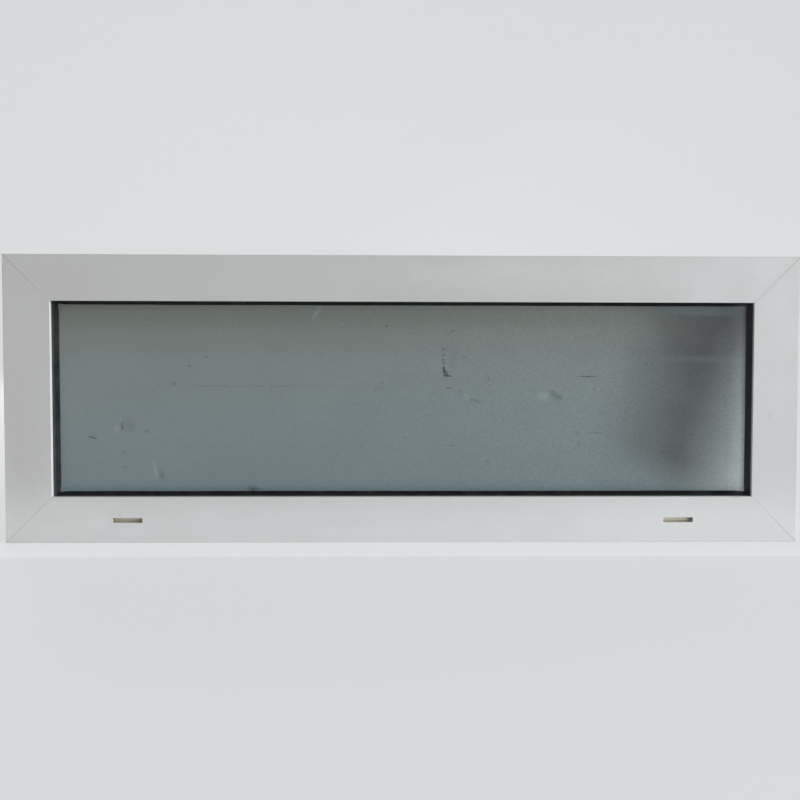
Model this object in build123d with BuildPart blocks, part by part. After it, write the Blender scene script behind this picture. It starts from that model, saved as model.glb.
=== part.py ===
from build123d import *
import math
import os

# A fixed window of thermally broken aluminium, with a matt film on its insulating glass.
# All sizes are in millimetres. +X is to the right seen from outdoors, -Y is outdoors, +Z is up,
# and the origin is under the middle of the sill.

# Overall size and the face that shows
overall_width = 800.0
overall_height = 290.0
frame_depth = 65.0
sight_line = 46.5

# Walls and edges of the extruded shells
shell_depth = 20.0
rebate_floor = 27.0
wall = 1.8
floor_wall = 1.5
outer_edge_radius = 0.8
fine_radius = 0.4
chamber_radius = 0.6
drain_depth = 6.2
drain_web = 1.5
lip_reach = 4.0
mitre_gap = 0.12

# Thermal break strips and the pockets that they are rolled into
strip_web = 2.0
pocket_width = 6.2
pocket_reach = 2.5
pocket_mouth = 2.4
pocket_root = 3.6
perimeter_strip_place = 7.5

# Gasket grooves, the same in the outer lip and in the bead
groove_setback = 4.25
groove_mouth = 3.5
groove_width = 5.3
groove_lip = 1.0
groove_depth = 1.6
groove_leg = 1.5
groove_back = 1.2

# Gaskets
gasket_play = 0.2
gasket_setback = 0.3
gasket_width = 7.6
gasket_skin = 1.3
gasket_radius = 0.3
sealing_lip = 3.1
outer_overlap = 2.8
inner_overlap = 0.8

# Insulating glass unit
glass_face = 12.5
pane_thickness = 4.0
cavity = 16.0
arris = 0.5
film_thickness = 0.2
seal_height = 4.0
spacer_height = 6.0

# Glazing bead and the rails that it snaps on
wedge_room = 4.0
bead_setback = 1.0
bead_over_rail = 1.0
bead_wall = 1.4
bead_joint = 0.3
bead_radius = 1.2
rail_height = 3.0
rail_wall = 1.4
hook = 1.0
rail_setback = 10.3
rail_half_span = 6.7
foot_play = 0.15
foot_wall = 1.2

# Drain slots in the face, and the weep slots that feed them from the rebate
slot_length = 30.0
slot_height = 5.0
slot_from_end = 121.5
slot_headroom = 0.3
slot_threshold = 0.2
slot_radius = 0.5
weep_from_end = 190.0
weep_width = 4.0

# Bridges and setting blocks under the glass, and corner cleats
bridge_length = 90.0
bridge_play = 1.5
bridge_thickness = 3.0
block_length = 80.0
block_thickness = 2.0
block_play = 1.0
block_from_end = 260.0
cleat_arm = 46.0
cleat_play = 0.2
cleat_web = 3.0
crimp_place = 14.0
crimp_width = 4.0
crimp_depth = 1.2

rebate_strip_place = rebate_floor - pocket_width / 2
inner_shell_front = frame_depth - shell_depth
groove_place = sight_line - groove_setback
gasket_side = sight_line - gasket_setback
gasket_heel = gasket_side - gasket_width
gasket_shoulder = glass_face - sealing_lip
gasket_tip = sight_line + outer_overlap
inner_gasket_tip = sight_line + inner_overlap
glass_edge = rebate_floor + bridge_thickness + block_thickness
glass_back = glass_face + 2 * pane_thickness + cavity
bead_front = glass_back + wedge_room
bead_back = frame_depth - bead_setback
half_width = overall_width / 2
half_height = overall_height / 2
half_depth = frame_depth / 2

os.makedirs("parts", exist_ok=True)

# The four sides of the frame. On each side's plane, local x runs from the outer edge in towards
# the glass, local y from the outdoor face in towards the room, and z along the bar.
sides = {
    "bottom": (
        Plane(origin=(0, -half_depth, 0), x_dir=(0, 0, 1), z_dir=(-1, 0, 0)),
        overall_width,
    ),
    "top": (
        Plane(origin=(0, -half_depth, overall_height), x_dir=(0, 0, -1), z_dir=(1, 0, 0)),
        overall_width,
    ),
    "left": (
        Plane(origin=(-half_width, -half_depth, half_height), x_dir=(1, 0, 0), z_dir=(0, 0, 1)),
        overall_height,
    ),
    "right": (
        Plane(origin=(half_width, -half_depth, half_height), x_dir=(-1, 0, 0), z_dir=(0, 0, -1)),
        overall_height,
    ),
}

# The four corners, each plane with its x and y along the two bars and z towards outdoors
corners = {
    "bottom_left": ((-half_width, 0), (1, 0, 0)),
    "bottom_right": ((half_width, 0), (0, 0, 1)),
    "top_right": ((half_width, overall_height), (-1, 0, 0)),
    "top_left": ((-half_width, overall_height), (0, 0, -1)),
}

facing_outdoors = Plane(origin=(0, -half_depth, 0), x_dir=(1, 0, 0), z_dir=(0, -1, 0))


def finish(piece, name):
    piece.part.label = name
    export_step(piece.part, f"parts/{name}.step")


def mitred_bar(section, side, joint=0.0):
    """A bar of one section along a whole side, its ends cut at 45 degrees, half a joint short."""
    plane, length = sides[side]
    with BuildPart() as bar:
        with BuildSketch(plane):
            add(section.sketch)
        extrude(amount=length / 2, both=True)
        for end in (1, -1):
            corner = plane.origin + plane.z_dir * (end * length / 2)
            across = (plane.x_dir + plane.z_dir * end).normalized()
            split(
                bisect_by=Plane(origin=corner - across * (joint / 2), z_dir=across),
                keep=Keep.BOTTOM,
            )
    return bar


# The box that both shells share, with the two pockets for the thermal break strips
pocket_angle = math.degrees(math.atan2(pocket_reach, (pocket_root - pocket_mouth) / 2))
strip_places = ((perimeter_strip_place, shell_depth), (rebate_strip_place, shell_depth))
with BuildSketch() as shell_box:
    with BuildLine():
        FilletPolyline(
            (0, 0),
            (rebate_floor, 0),
            (rebate_floor, shell_depth),
            (0, shell_depth),
            radius=(outer_edge_radius, outer_edge_radius, 0, fine_radius),
            close=True,
        )
    make_face()
    with Locations(*strip_places):
        Rectangle(pocket_width, pocket_reach, align=(Align.CENTER, Align.MIN))
        Trapezoid(
            pocket_root,
            pocket_reach,
            pocket_angle,
            align=(Align.CENTER, Align.MIN),
            mode=Mode.SUBTRACT,
        )

# The outdoor shell: two webs part its hollow into a chamber for the corner cleats, an empty one
# behind the face, and over that a drain channel whose floor is just under the drain slots. The
# face wall runs on from the box to the sight line, and the thick end there turns in and holds
# the gasket groove
chamber_top = rebate_floor - floor_wall
slot_top = chamber_top - slot_headroom
slot_middle = slot_top - slot_height / 2
channel_floor = slot_top - slot_height - slot_threshold
channel_back = wall + drain_depth
outer_chamber_front = channel_back + drain_web
outer_chamber_back = shell_depth - wall
outer_hollows = (
    (wall, chamber_top, outer_chamber_front, outer_chamber_back),
    (wall, channel_floor - drain_web, wall, channel_back),
    (channel_floor, chamber_top, wall, channel_back),
)
with BuildSketch() as outer_shell_section:
    add(shell_box.sketch)
    for low, high, front, back in outer_hollows:
        with Locations((low, front)):
            RectangleRounded(
                high - low,
                back - front,
                chamber_radius,
                align=(Align.MIN, Align.MIN),
                mode=Mode.SUBTRACT,
            )
    with BuildLine():
        FilletPolyline(
            (rebate_floor / 2, 0),
            (sight_line, 0),
            (sight_line, lip_reach),
            (groove_place - groove_width / 2 - groove_leg, lip_reach),
            (groove_place - groove_width / 2 - groove_leg, wall),
            (rebate_floor / 2, wall),
            radius=(0, fine_radius, fine_radius, fine_radius, fine_radius, 0),
            close=True,
        )
    make_face()
    with Locations((groove_place, lip_reach)):
        Rectangle(
            groove_mouth, groove_lip, align=(Align.CENTER, Align.MAX), mode=Mode.SUBTRACT
        )
    with Locations((groove_place, lip_reach - groove_lip)):
        Rectangle(
            groove_width, groove_depth, align=(Align.CENTER, Align.MAX), mode=Mode.SUBTRACT
        )

# The indoor shell: the same box turned about the middle of the frame, with one deep chamber and
# two hooked rails on the rebate floor for the bead
inner_chamber_front = inner_shell_front + wall
inner_chamber_back = frame_depth - wall
rail_middle = frame_depth - rail_setback
rail_front = rail_middle - rail_half_span
rail_face = rail_front + rail_wall
rail_top = rebate_floor + rail_height
bead_floor = rail_top + bead_over_rail
with BuildSketch() as rail_section:
    with BuildLine():
        Polyline(
            (rebate_floor, rail_front),
            (rail_top, rail_front),
            (rail_top, rail_face + hook),
            (rail_top - hook, rail_face + hook),
            (rail_top - hook, rail_face),
            (rebate_floor, rail_face),
            close=True,
        )
    make_face()
with BuildSketch() as inner_shell_section:
    add(mirror(shell_box.sketch, about=Plane.XZ.offset(-half_depth), mode=Mode.PRIVATE))
    with Locations((wall, inner_chamber_front)):
        RectangleRounded(
            chamber_top - wall,
            inner_chamber_back - inner_chamber_front,
            chamber_radius,
            align=(Align.MIN, Align.MIN),
            mode=Mode.SUBTRACT,
        )
    add(rail_section.sketch)
    add(mirror(rail_section.sketch, about=Plane.XZ.offset(-rail_middle), mode=Mode.PRIVATE))

# The two plastic strips, dovetailed into the pockets of both shells
with BuildSketch() as strip_section:
    with Locations((0, half_depth)):
        Rectangle(strip_web, inner_shell_front - shell_depth)
    with Locations((0, shell_depth)):
        Trapezoid(
            pocket_root, pocket_reach, pocket_angle, align=(Align.CENTER, Align.MIN)
        )
    mirror(about=Plane.XZ.offset(-half_depth))

# The glazing bead: a hollow box with a gasket groove towards the glass, a cover leg on the room
# side that hides the rails, and two feet that snap under the rails' hooks
groove_side = groove_place - groove_width / 2 - bead_wall
groove_floor = bead_front + groove_lip + groove_depth + groove_back
cover_leg = bead_back - bead_wall
foot_bottom = rebate_floor + bead_joint
toe_front = rail_face + foot_play
foot_front = toe_front + hook
toe_top = rail_top - hook - foot_play
with BuildSketch() as foot_section:
    with BuildLine():
        Polyline(
            (bead_floor + fine_radius, foot_front),
            (toe_top, foot_front),
            (toe_top, toe_front),
            (foot_bottom, toe_front),
            (foot_bottom, foot_front + foot_wall),
            (bead_floor + fine_radius, foot_front + foot_wall),
            close=True,
        )
    make_face()
with BuildSketch() as bead_section:
    with BuildLine():
        FilletPolyline(
            (sight_line, bead_front),
            (sight_line, bead_back),
            (foot_bottom, bead_back),
            (foot_bottom, cover_leg),
            (bead_floor, cover_leg),
            (bead_floor, bead_front),
            radius=(fine_radius, bead_radius, fine_radius, 0, 0, fine_radius),
            close=True,
        )
    make_face()
    with BuildLine():
        FilletPolyline(
            (bead_floor + bead_wall, bead_front + bead_wall),
            (groove_side, bead_front + bead_wall),
            (groove_side, groove_floor),
            (sight_line - bead_wall, groove_floor),
            (sight_line - bead_wall, cover_leg),
            (bead_floor + bead_wall, cover_leg),
            radius=chamber_radius,
            close=True,
        )
    make_face(mode=Mode.SUBTRACT)
    with Locations((groove_place, bead_front)):
        Rectangle(
            groove_mouth, groove_lip, align=(Align.CENTER, Align.MIN), mode=Mode.SUBTRACT
        )
    with Locations((groove_place, bead_front + groove_lip)):
        Rectangle(
            groove_width, groove_depth, align=(Align.CENTER, Align.MIN), mode=Mode.SUBTRACT
        )
    add(foot_section.sketch)
    add(mirror(foot_section.sketch, about=Plane.XZ.offset(-rail_middle), mode=Mode.PRIVATE))

# The outer gasket: a foot in the lip's groove, a hollow body on the end of the lip, and a
# sealing lip that spreads out over the glass as far as the film's edge
neck_half = groove_mouth / 2 - gasket_play
foot_half = groove_width / 2 - gasket_play
foot_deep = lip_reach - groove_lip - groove_depth + gasket_play
body_end = gasket_side - gasket_skin
film_face = glass_face - film_thickness
with BuildSketch() as outer_gasket_section:
    with BuildLine():
        FilletPolyline(
            (gasket_side, lip_reach),
            (gasket_side, gasket_shoulder),
            (gasket_tip, film_face),
            (gasket_tip, glass_face),
            (gasket_tip - gasket_skin, glass_face),
            (body_end, gasket_shoulder + gasket_skin / 2),
            (body_end, lip_reach + gasket_skin),
            (gasket_heel + gasket_skin, lip_reach + gasket_skin),
            (gasket_heel + gasket_skin, glass_face),
            (gasket_heel, glass_face),
            (gasket_heel, lip_reach),
            radius=(0, gasket_radius, 0, 0, 0, gasket_radius, gasket_skin, gasket_skin, 0, 0, 0),
            close=True,
        )
    make_face()
    with BuildLine():
        Polyline(
            (groove_place - neck_half, lip_reach),
            (groove_place - neck_half, lip_reach - groove_lip - gasket_play),
            (groove_place - foot_half, lip_reach - groove_lip - gasket_play),
            (groove_place - foot_half, foot_deep),
            (groove_place + foot_half, foot_deep),
            (groove_place + foot_half, lip_reach - groove_lip - gasket_play),
            (groove_place + neck_half, lip_reach - groove_lip - gasket_play),
            (groove_place + neck_half, lip_reach),
            close=True,
        )
    make_face()

# The inner gasket: a wedge between the inner pane and the bead, with a foot in the bead's groove
inner_foot_end = bead_front + groove_lip + groove_depth - gasket_play
inner_foot_start = bead_front + groove_lip + gasket_play
with BuildSketch() as inner_gasket_section:
    with BuildLine():
        FilletPolyline(
            (gasket_side, bead_front),
            (inner_gasket_tip, glass_back + gasket_skin),
            (inner_gasket_tip, glass_back),
            (gasket_heel, glass_back),
            (gasket_heel, bead_front),
            radius=(0, gasket_radius, gasket_radius, 0, 0),
            close=True,
        )
    make_face()
    with BuildLine():
        Polyline(
            (groove_place - neck_half, bead_front),
            (groove_place - neck_half, inner_foot_start),
            (groove_place - foot_half, inner_foot_start),
            (groove_place - foot_half, inner_foot_end),
            (groove_place + foot_half, inner_foot_end),
            (groove_place + foot_half, inner_foot_start),
            (groove_place + neck_half, inner_foot_start),
            (groove_place + neck_half, bead_front),
            close=True,
        )
    make_face()

# The shell bars, beads, strips and gaskets, one of each on every side
for side in sides:
    with BuildPart() as outer_shell:
        add(mitred_bar(outer_shell_section, side, mitre_gap).part)
        if side == "bottom":
            # Two slots in the face let rain out of the drain channel
            slot_places = (slot_from_end - half_width, half_width - slot_from_end)
            with BuildSketch(facing_outdoors):
                with Locations(*[(place, slot_middle) for place in slot_places]):
                    RectangleRounded(slot_length, slot_height, slot_radius)
            extrude(amount=-wall - fine_radius, mode=Mode.SUBTRACT)
            # Two more in the rebate floor let it into the channel from around the glass
            weep_places = (weep_from_end - half_width, half_width - weep_from_end)
            channel_middle = wall + drain_depth / 2
            with BuildSketch(Plane.XY.offset(rebate_floor)):
                with Locations(*[(place, channel_middle - half_depth) for place in weep_places]):
                    SlotOverall(slot_length, weep_width)
            extrude(amount=-floor_wall - fine_radius, mode=Mode.SUBTRACT)
    finish(outer_shell, f"outer_shell_{side}")

    inner_shell = mitred_bar(inner_shell_section, side, mitre_gap)
    finish(inner_shell, f"inner_shell_{side}")

    strip_rows = {"perimeter": perimeter_strip_place, "rebate": rebate_strip_place}
    for row, place in strip_rows.items():
        with BuildSketch() as placed_strip:
            with Locations((place, 0)):
                add(strip_section.sketch)
        strip = mitred_bar(placed_strip, side, mitre_gap)
        finish(strip, f"{row}_strip_{side}")

    bead = mitred_bar(bead_section, side, mitre_gap)
    finish(bead, f"glazing_bead_{side}")

    outer_gasket = mitred_bar(outer_gasket_section, side)
    finish(outer_gasket, f"outer_gasket_{side}")

    inner_gasket = mitred_bar(inner_gasket_section, side)
    finish(inner_gasket, f"inner_gasket_{side}")

# The insulating glass: two panes with ground edges, a spacer bar between them and the seal
# around it, all centred in the frame
glass_width = overall_width - 2 * glass_edge
glass_height = overall_height - 2 * glass_edge
glass_middle = (0, half_height)


def behind_face(depth):
    """The plane that faces outdoors, this far behind the outdoor face."""
    return facing_outdoors.offset(-depth)


for name, front in (("outer_pane", glass_face), ("inner_pane", glass_back - pane_thickness)):
    with BuildPart() as pane:
        with BuildSketch(behind_face(front)):
            with Locations(glass_middle):
                Rectangle(glass_width, glass_height)
        extrude(amount=-pane_thickness)
        chamfer(edges(), length=arris)
    finish(pane, name)

with BuildPart() as matt_film:
    with BuildSketch(behind_face(film_face)):
        with Locations(glass_middle):
            Rectangle(overall_width - 2 * gasket_tip, overall_height - 2 * gasket_tip)
    extrude(amount=-film_thickness)
finish(matt_film, "matt_film")

with BuildPart() as edge_seal:
    with BuildSketch(behind_face(glass_face + pane_thickness)):
        with Locations(glass_middle):
            Rectangle(glass_width, glass_height)
            Rectangle(
                glass_width - 2 * seal_height, glass_height - 2 * seal_height, mode=Mode.SUBTRACT
            )
    extrude(amount=-cavity)
finish(edge_seal, "edge_seal")

with BuildPart() as spacer:
    with BuildSketch(behind_face(glass_face + pane_thickness)):
        with Locations(glass_middle):
            Rectangle(glass_width - 2 * seal_height, glass_height - 2 * seal_height)
            Rectangle(
                glass_width - 2 * seal_height - 2 * spacer_height,
                glass_height - 2 * seal_height - 2 * spacer_height,
                mode=Mode.SUBTRACT,
            )
    extrude(amount=-cavity)
finish(spacer, "spacer")

# Under the glass, a bridge spans the gap between the shells on the rebate floor, twice, and a
# setting block on each bridge carries the glass
block_places = {"left": block_from_end - half_width, "right": half_width - block_from_end}
bridge_back = rail_front - bridge_play
block_back = bead_front - block_play
for name, place in block_places.items():
    with BuildPart() as bridge:
        with BuildSketch(Plane.XY.offset(rebate_floor)):
            with Locations((place, (glass_face + bridge_back) / 2 - half_depth)):
                Rectangle(bridge_length, bridge_back - glass_face)
        extrude(amount=bridge_thickness)
    finish(bridge, f"glazing_bridge_{name}")
    with BuildPart() as setting_block:
        with BuildSketch(Plane.XY.offset(rebate_floor + bridge_thickness)):
            with Locations((place, (glass_face + block_back) / 2 - half_depth)):
                Rectangle(block_length, block_back - glass_face)
        extrude(amount=block_thickness)
    finish(setting_block, f"setting_block_{name}")

# Corner cleats: an angle pushed into the chambers of both bars at each corner, in both shells.
# The wall of each bar is crimped into a notch on the outside of the angle
cleat_shells = {
    "outer": (outer_chamber_front + cleat_play, outer_chamber_back - cleat_play),
    "inner": (inner_chamber_front + cleat_play, inner_chamber_back - cleat_play),
}
cleat_edge = wall + cleat_play
cleat_inside = chamber_top - cleat_play
crimp = cleat_edge + crimp_place
for corner, ((x, z), along) in corners.items():
    for shell, (front, back) in cleat_shells.items():
        corner_plane = Plane(
            origin=(x, back - half_depth, z), x_dir=along, z_dir=(0, -1, 0)
        )
        with BuildPart() as cleat:
            with BuildSketch(corner_plane):
                with BuildLine():
                    FilletPolyline(
                        (cleat_edge, cleat_edge),
                        (cleat_edge + cleat_arm, cleat_edge),
                        (cleat_edge + cleat_arm, cleat_inside),
                        (cleat_inside, cleat_inside),
                        (cleat_inside, cleat_edge + cleat_arm),
                        (cleat_edge, cleat_edge + cleat_arm),
                        radius=chamber_radius,
                        close=True,
                    )
                make_face()
                offset(amount=-cleat_web, kind=Kind.INTERSECTION, mode=Mode.SUBTRACT)
                with Locations((crimp, cleat_edge)):
                    Rectangle(
                        crimp_width,
                        crimp_depth,
                        align=(Align.CENTER, Align.MIN),
                        mode=Mode.SUBTRACT,
                    )
                with Locations((cleat_edge, crimp)):
                    Rectangle(
                        crimp_depth,
                        crimp_width,
                        align=(Align.MIN, Align.CENTER),
                        mode=Mode.SUBTRACT,
                    )
            extrude(amount=back - front)
        finish(cleat, f"{shell}_cleat_{corner}")
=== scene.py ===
import math
import bmesh
import bpy
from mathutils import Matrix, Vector, noise


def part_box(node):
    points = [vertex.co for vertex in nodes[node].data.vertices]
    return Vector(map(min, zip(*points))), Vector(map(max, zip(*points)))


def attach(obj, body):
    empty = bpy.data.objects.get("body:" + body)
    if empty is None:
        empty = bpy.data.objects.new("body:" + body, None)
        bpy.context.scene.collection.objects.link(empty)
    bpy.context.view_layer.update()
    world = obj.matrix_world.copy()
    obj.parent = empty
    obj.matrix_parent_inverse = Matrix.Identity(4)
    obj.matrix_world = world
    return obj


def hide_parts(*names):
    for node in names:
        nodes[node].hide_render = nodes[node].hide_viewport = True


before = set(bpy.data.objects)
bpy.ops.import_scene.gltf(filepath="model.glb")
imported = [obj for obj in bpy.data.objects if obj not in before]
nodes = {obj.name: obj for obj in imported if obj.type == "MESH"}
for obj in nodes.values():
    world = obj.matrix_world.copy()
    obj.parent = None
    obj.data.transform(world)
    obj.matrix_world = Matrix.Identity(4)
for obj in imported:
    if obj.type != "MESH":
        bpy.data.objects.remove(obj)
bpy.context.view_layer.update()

millimetre = 0.001
sides = ("bottom", "top", "left", "right")


# Camera. It stands outdoors, a little to the right of the window's middle and not quite as high
# as its head, and looks slightly down, as the photograph does.
camera_data = bpy.data.cameras.new("view_from_outdoors")
camera_data.lens = 36.0
camera_data.sensor_width = 36.0
camera_data.shift_x = -0.0721
camera_data.shift_y = -0.0677
camera = bpy.data.objects.new("view_from_outdoors", camera_data)
camera.location = (0.0405, -0.8371, 0.2257)
camera.rotation_euler = [math.radians(turn) for turn in (88.1277, -0.1616, -0.9286)]
bpy.context.scene.collection.objects.link(camera)
bpy.context.scene.camera = camera
bpy.context.scene.view_settings.view_transform = "Standard"


# Studio. A pale sheet lies on the floor and runs up behind the window in one sweep. Daylight comes
# low from the right, along the face; a strip lamp lies on the sheet just in front of the sill and
# brightens the lower part of the frame.
def link_object(name, mesh):
    """A new object in the scene, at the origin."""
    made = bpy.data.objects.new(name, mesh)
    bpy.context.scene.collection.objects.link(made)
    return made


def put(tree, kind, sockets=None, **settings):
    """Add a node, set its settings, then set its sockets or join them to other nodes."""
    made = tree.nodes.new(kind)
    for name, value in settings.items():
        setattr(made, name, value)
    for socket, value in (sockets or {}).items():
        if isinstance(value, bpy.types.NodeSocket):
            tree.links.new(value, made.inputs[socket])
        else:
            made.inputs[socket].default_value = value
    return made


def new_finish(name, **plain):
    """A material and its tree and shader; the shader's plain sockets are set by name."""
    material = bpy.data.materials.new(name)
    material.use_nodes = True
    shader = material.node_tree.nodes["Principled BSDF"]
    for socket, value in plain.items():
        shader.inputs[socket.replace("_", " ")].default_value = value
    return material, material.node_tree, shader


def any_ray(tree, *kinds):
    """One where the ray is of any of these kinds."""
    path = put(tree, "ShaderNodeLightPath")
    found = path.outputs[kinds[0]]
    for kind in kinds[1:]:
        found = put(tree, "ShaderNodeMath", {0: found, 1: path.outputs[kind]}, operation="MAXIMUM")
        found = found.outputs[0]
    return found


sheet_front, sheet_turn, sheet_radius, sheet_top, sheet_half = -3.0, 2.2, 0.8, 3.4, 4.0
sheet_steps = 12
sheet_line = [(sheet_front, 0.0), (-0.6, 0.0), (0.6, 0.0), (sheet_turn, 0.0)]
for step in range(1, sheet_steps + 1):
    turn = math.radians(90 * step / sheet_steps)
    sheet_line.append(
        (sheet_turn + sheet_radius * math.sin(turn), sheet_radius * (1 - math.cos(turn)))
    )
sheet_line.append((sheet_turn + sheet_radius, sheet_top))
sheet = bmesh.new()
rows = [[sheet.verts.new((x, y, z)) for x in (-sheet_half, sheet_half)] for y, z in sheet_line]
for low, high in zip(rows, rows[1:]):
    sheet.faces.new((low[0], low[1], high[1], high[0])).smooth = True
sheet_mesh = bpy.data.meshes.new("studio_sheet")
sheet.to_mesh(sheet_mesh)
sheet.free()
studio_sheet = link_object("studio_sheet", sheet_mesh)

pale_tone = (0.86, 0.875, 0.895, 1)
paper, tree, shader = new_finish(
    "studio_paper", Base_Color=(0.78, 0.79, 0.80, 1), Roughness=0.95
)
seen = any_ray(tree, "Is Camera Ray", "Is Glossy Ray", "Is Transmission Ray")
share = put(tree, "ShaderNodeMath", {0: seen, 1: 0.62}, operation="MULTIPLY")
glow = put(tree, "ShaderNodeEmission", {"Color": pale_tone, "Strength": 1.0})
blend = put(
    tree, "ShaderNodeMixShader", {0: share.outputs[0], 1: shader.outputs[0], 2: glow.outputs[0]}
)
tree.links.new(blend.outputs[0], tree.nodes["Material Output"].inputs["Surface"])
sheet_mesh.materials.append(paper)

world = bpy.data.worlds.new("studio_sky")
bpy.context.scene.world = world
world.use_nodes = True
tree = world.node_tree
even = tree.nodes["Background"]
even.inputs["Color"].default_value = (0.96, 0.96, 0.95, 1)
even.inputs["Strength"].default_value = 0.22
pale = put(tree, "ShaderNodeBackground", {"Color": pale_tone, "Strength": 1.0})
blend = put(
    tree,
    "ShaderNodeMixShader",
    {0: any_ray(tree, "Is Camera Ray"), 1: even.outputs[0], 2: pale.outputs[0]},
)
tree.links.new(blend.outputs[0], tree.nodes["World Output"].inputs["Surface"])


def hang_lamp(name, kind, spot, aim, power, tint, **settings):
    """A lamp at a spot, aimed at a point, which the camera doesn't see."""
    data = bpy.data.lights.new(name, kind)
    data.energy = power
    data.color = tint
    for setting, value in settings.items():
        setattr(data, setting, value)
    lamp = bpy.data.objects.new(name, data)
    lamp.location = spot
    lamp.rotation_euler = (Vector(aim) - Vector(spot)).to_track_quat("-Z", "Y").to_euler()
    lamp.visible_camera = False
    bpy.context.scene.collection.objects.link(lamp)


cool, plain, warm = (0.90, 0.96, 1.0), (1.0, 0.995, 0.98), (1.0, 0.985, 0.965)
hang_lamp(
    "daylight", "SUN", (4.0, -1.15, 1.0), (0, 0, 0.1), 2.6, plain, angle=math.radians(30)
)
hang_lamp(
    "near_lamp", "AREA", (0.92, -1.22, 0.28), (0, -0.0325, 0.1), 4.85, cool, size=0.5
)
hang_lamp(
    "sill_lamp",
    "AREA",
    (0.0, -0.0825, 0.014),
    (0.0, -0.0325, 0.014),
    0.063,
    cool,
    shape="RECTANGLE",
    size=1.3,
    size_y=0.02,
)
hang_lamp(
    "room_lamp", "AREA", (-1.2, 1.9, 1.4), (0, 0.03, 0.12), 22.0, warm, size=1.4
)


# Thermal break strips. Glass-filled nylon, extruded black and rolled into the pockets of both
# shells: one row at the floor of the fixing groove round the frame, one under the glass.
def new_group(name, inputs, outputs):
    """A shader node group with named inputs and outputs, its entry and its exit."""
    group = bpy.data.node_groups.new(name, "ShaderNodeTree")
    for label, kind, value in inputs:
        socket = group.interface.new_socket(
            label, in_out="INPUT", socket_type="NodeSocket" + kind
        )
        socket.default_value = value
    for label, kind in outputs:
        group.interface.new_socket(label, in_out="OUTPUT", socket_type="NodeSocket" + kind)
    return group, group.nodes.new("NodeGroupInput"), group.nodes.new("NodeGroupOutput")


def use(tree, group, sockets):
    """Place a shader node group in a material."""
    made = tree.nodes.new("ShaderNodeGroup")
    made.node_tree = group
    for socket, value in sockets.items():
        if isinstance(value, bpy.types.NodeSocket):
            tree.links.new(value, made.inputs[socket])
        else:
            made.inputs[socket].default_value = value
    return made


def mixed(tree, factor, first, second):
    """The first colour where the factor is 0, the second where it is 1."""
    made = put(tree, "ShaderNodeMix", data_type="RGBA")
    for socket, value in ((0, factor), (6, first), (7, second)):
        if isinstance(value, bpy.types.NodeSocket):
            tree.links.new(value, made.inputs[socket])
        else:
            made.inputs[socket].default_value = value
    return made.outputs[2]


def worked(tree, operation, first, second, third=None):
    """The result of one sum on two or three values."""
    values = {0: first, 1: second}
    if third is not None:
        values[2] = third
    return put(tree, "ShaderNodeMath", values, operation=operation).outputs[0]


def ranged(tree, value, start, end, low=0.0, high=1.0):
    """The value, eased from low to high between start and end."""
    made = put(
        tree,
        "ShaderNodeMapRange",
        {"Value": value, "From Min": start, "From Max": end, "To Min": low, "To Max": high},
        interpolation_type="SMOOTHSTEP",
    )
    return made.outputs["Result"]


def grain(tree, size, detail=2.0, roughness=0.5, stretch=None):
    """A cloud of noise over the object, whose blotches are about as large as this size."""
    vector = put(tree, "ShaderNodeTexCoord").outputs["Object"]
    if stretch:
        vector = put(tree, "ShaderNodeMapping", {"Vector": vector, "Scale": stretch}).outputs[0]
    made = put(
        tree,
        "ShaderNodeTexNoise",
        {"Vector": vector, "Scale": 1.0 / size, "Detail": detail, "Roughness": roughness},
    )
    return made.outputs["Fac"]


def relief(tree, shader, height, strength, depth):
    """Raise the surface where the height is large, by a bump that feeds the normal."""
    made = put(
        tree, "ShaderNodeBump", {"Height": height, "Strength": strength, "Distance": depth}
    )
    tree.links.new(made.outputs["Normal"], shader.inputs["Normal"])


def dress(names, material):
    """Give carried CAD nodes their finish."""
    for name in names:
        nodes[name].data.materials.clear()
        nodes[name].data.materials.append(material)


# Settled dust, on every finish: a loose cloud that greys the colour, thicker on ledges
dust, entry, leave = new_group(
    "settled_dust",
    (
        ("Colour", "Color", (0.5, 0.5, 0.5, 1)),
        ("Dust", "Color", (0.40, 0.385, 0.35, 1)),
        ("Amount", "Float", 0.2),
        ("Ledges", "Float", 0.3),
        ("Size", "Float", 0.03),
    ),
    (("Colour", "Color"), ("Mask", "Float")),
)
place = put(dust, "ShaderNodeTexCoord")
scale = worked(dust, "DIVIDE", 1.0, entry.outputs["Size"])
cloud = put(
    dust,
    "ShaderNodeTexNoise",
    {"Vector": place.outputs["Object"], "Scale": scale, "Detail": 7.0, "Roughness": 0.68},
)
fall = ranged(dust, cloud.outputs["Fac"], 0.40, 0.74)
up = put(dust, "ShaderNodeSeparateXYZ", {0: put(dust, "ShaderNodeNewGeometry").outputs["Normal"]})
ledge = ranged(dust, up.outputs["Z"], 0.55, 0.95)
settled = worked(dust, "MULTIPLY", ledge, entry.outputs["Ledges"])
spread = worked(dust, "MULTIPLY", fall, entry.outputs["Amount"])
settled = worked(dust, "MULTIPLY", settled, ranged(dust, cloud.outputs["Fac"], 0.25, 0.62))
amount = worked(dust, "MAXIMUM", settled, spread)
dusted = mixed(dust, amount, entry.outputs["Colour"], entry.outputs["Dust"])
dust.links.new(dusted, leave.inputs["Colour"])
dust.links.new(amount, leave.inputs["Mask"])

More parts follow.
